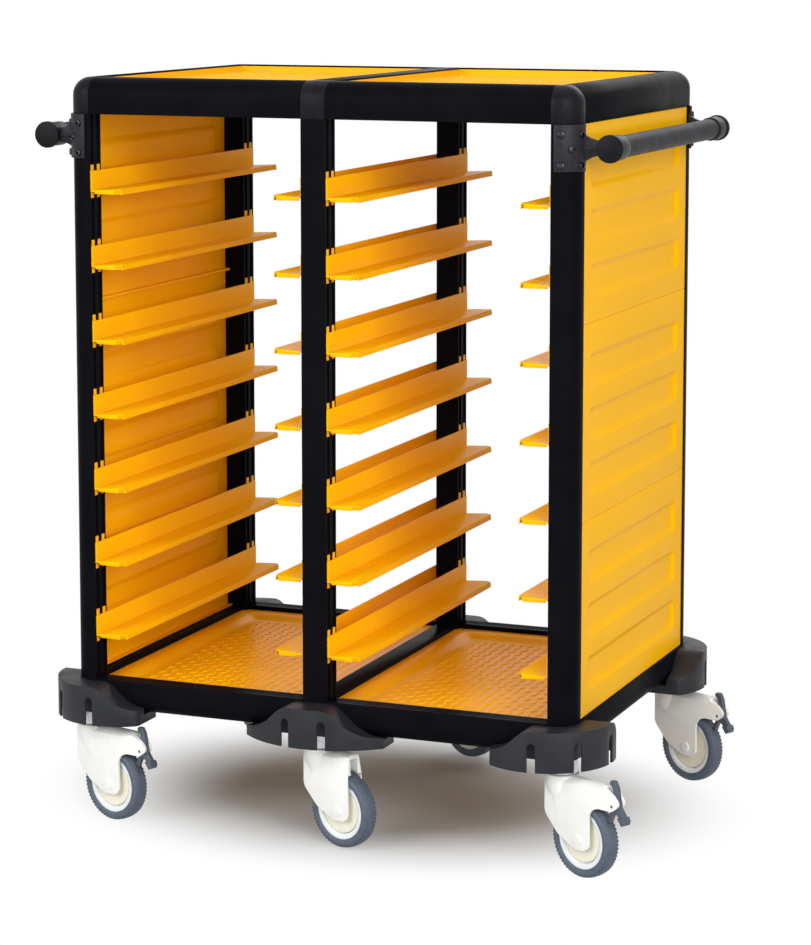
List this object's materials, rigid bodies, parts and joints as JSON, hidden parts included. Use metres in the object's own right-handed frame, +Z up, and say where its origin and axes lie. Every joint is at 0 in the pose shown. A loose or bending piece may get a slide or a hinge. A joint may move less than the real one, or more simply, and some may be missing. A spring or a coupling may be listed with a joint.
{
  "type": "gastronorm tray trolley",
  "caption": "Open tray trolley with rows of tray rails in two bays, side panels, push handles, corner bumpers and braked swivel castors.",
  "frame": {"origin": "on the floor, under the middle of the trolley's frame", "axes": "+Z up; the open front looks along -Y; +X to the right seen from the front, across the two bays"},
  "size_m": [1.0635, 0.748, 1.248],
  "materials": {
    "frame_black": "satin black powder coat on aluminium extrusion",
    "black_plastic": "fine-textured black moulding",
    "bumper_plastic": "matt dark grey moulding",
    "orange_paint": "smooth semi-gloss orange powder coat",
    "handle_grey": "satin grey coated tube",
    "white_plastic": "smooth white moulded nylon",
    "hub_plastic": "cream moulded wheel centre",
    "tyre_rubber": "blue-grey non-marking rubber",
    "pedal_plastic": "blue-grey moulded pedal"
  },
  "bodies": {
    "frame": {"corner_post_front_left": "frame_black", "corner_post_front_right": "frame_black", "corner_post_rear_left": "frame_black", "corner_post_rear_right": "frame_black", "middle_post_front": "frame_black", "middle_post_rear": "frame_black", "top_beam_front": "frame_black", "top_beam_rear": "frame_black", "top_beam_left": "frame_black", "top_beam_right": "frame_black", "top_cross_beam": "frame_black", "base_beam_front": "frame_black", "base_beam_rear": "frame_black", "base_beam_left": "frame_black", "base_beam_right": "frame_black", "base_cross_beam": "frame_black", "top_corner_caps": "black_plastic", "top_tee_caps": "black_plastic", "handle_brackets_left": "black_plastic", "handle_brackets_right": "black_plastic", "handle_end_caps": "black_plastic", "post_plugs": "black_plastic", "corner_bumpers": "bumper_plastic", "middle_bumpers": "bumper_plastic", "top_plate_left": "orange_paint", "top_plate_right": "orange_paint", "floor_pan_left": "orange_paint", "floor_pan_right": "orange_paint", "side_panels_left": "orange_paint", "side_panels_right": "orange_paint", "rails_left_outer": "orange_paint", "rails_left_inner": "orange_paint", "rails_right_inner": "orange_paint", "rails_right_outer": "orange_paint", "handle_tube_left": "handle_grey", "handle_tube_right": "handle_grey", "castor_heads": "white_plastic"},
    "fork_front_left": {"fork_front_left": "white_plastic"},
    "wheel_front_left": {"wheel_hub_front_left": "hub_plastic", "tyre_front_left": "tyre_rubber"},
    "fork_front_middle": {"fork_front_middle": "white_plastic"},
    "wheel_front_middle": {"wheel_hub_front_middle": "hub_plastic", "tyre_front_middle": "tyre_rubber"},
    "fork_front_right": {"fork_front_right": "white_plastic"},
    "wheel_front_right": {"wheel_hub_front_right": "hub_plastic", "tyre_front_right": "tyre_rubber"},
    "fork_rear_left": {"fork_rear_left": "white_plastic"},
    "wheel_rear_left": {"wheel_hub_rear_left": "hub_plastic", "tyre_rear_left": "tyre_rubber"},
    "fork_rear_middle": {"fork_rear_middle": "white_plastic"},
    "wheel_rear_middle": {"wheel_hub_rear_middle": "hub_plastic", "tyre_rear_middle": "tyre_rubber"},
    "fork_rear_right": {"fork_rear_right": "white_plastic"},
    "wheel_rear_right": {"wheel_hub_rear_right": "hub_plastic", "tyre_rear_right": "tyre_rubber"},
    "pedal_front_left": {"brake_pedal_front_left": "pedal_plastic"},
    "pedal_front_right": {"brake_pedal_front_right": "pedal_plastic"},
    "pedal_rear_left": {"brake_pedal_rear_left": "pedal_plastic"},
    "pedal_rear_right": {"brake_pedal_rear_right": "pedal_plastic"}
  },
  "joints": [
    {"name": "swivel_front_left", "type": "hinge", "parent": "frame", "child": "fork_front_left", "pos_m": [-0.419, -0.298, 0.158], "axis": [0, 0, 1], "continuous": true},
    {"name": "wheel_spin_front_left", "type": "hinge", "parent": "fork_front_left", "child": "wheel_front_left", "pos_m": [-0.36859, -0.31438, 0.0625], "axis": [0.309, 0.9511, 0], "continuous": true},
    {"name": "swivel_front_middle", "type": "hinge", "parent": "frame", "child": "fork_front_middle", "pos_m": [0, -0.298, 0.158], "axis": [0, 0, 1], "continuous": true},
    {"name": "wheel_spin_front_middle", "type": "hinge", "parent": "fork_front_middle", "child": "wheel_front_middle", "pos_m": [0.0498, -0.31613, 0.0625], "axis": [0.342, 0.9397, 0], "continuous": true},
    {"name": "swivel_front_right", "type": "hinge", "parent": "frame", "child": "fork_front_right", "pos_m": [0.419, -0.298, 0.158], "axis": [0, 0, 1], "continuous": true},
    {"name": "wheel_spin_front_right", "type": "hinge", "parent": "fork_front_right", "child": "wheel_front_right", "pos_m": [0.46664, -0.32123, 0.0625], "axis": [0.4384, 0.8988, 0], "continuous": true},
    {"name": "swivel_rear_left", "type": "hinge", "parent": "frame", "child": "fork_rear_left", "pos_m": [-0.419, 0.298, 0.158], "axis": [0, 0, 1], "continuous": true},
    {"name": "wheel_spin_rear_left", "type": "hinge", "parent": "fork_rear_left", "child": "wheel_rear_left", "pos_m": [-0.36986, 0.27815, 0.0625], "axis": [0.3746, 0.9272, 0], "continuous": true},
    {"name": "swivel_rear_middle", "type": "hinge", "parent": "frame", "child": "fork_rear_middle", "pos_m": [0, 0.298, 0.158], "axis": [0, 0, 1], "continuous": true},
    {"name": "wheel_spin_rear_middle", "type": "hinge", "parent": "fork_rear_middle", "child": "wheel_rear_middle", "pos_m": [0.04842, 0.27644, 0.0625], "axis": [0.4067, 0.9135, 0], "continuous": true},
    {"name": "swivel_rear_right", "type": "hinge", "parent": "frame", "child": "fork_rear_right", "pos_m": [0.419, 0.298, 0.158], "axis": [0, 0, 1], "continuous": true},
    {"name": "wheel_spin_rear_right", "type": "hinge", "parent": "fork_rear_right", "child": "wheel_rear_right", "pos_m": [0.46664, 0.27477, 0.0625], "axis": [0.4384, 0.8988, 0], "continuous": true},
    {"name": "brake_front_left", "type": "hinge", "parent": "fork_front_left", "child": "pedal_front_left", "pos_m": [-0.30582, -0.33477, 0.129], "axis": [0.309, 0.9511, 0], "range_deg": [0, 20]},
    {"name": "brake_front_right", "type": "hinge", "parent": "fork_front_right", "child": "pedal_front_right", "pos_m": [0.52596, -0.35017, 0.129], "axis": [0.4384, 0.8988, 0], "range_deg": [0, 20]},
    {"name": "brake_rear_left", "type": "hinge", "parent": "fork_rear_left", "child": "pedal_rear_left", "pos_m": [-0.30867, 0.25342, 0.129], "axis": [0.3746, 0.9272, 0], "range_deg": [0, 20]},
    {"name": "brake_rear_right", "type": "hinge", "parent": "fork_rear_right", "child": "pedal_rear_right", "pos_m": [0.52596, 0.24583, 0.129], "axis": [0.4384, 0.8988, 0], "range_deg": [0, 20]}
  ]
}
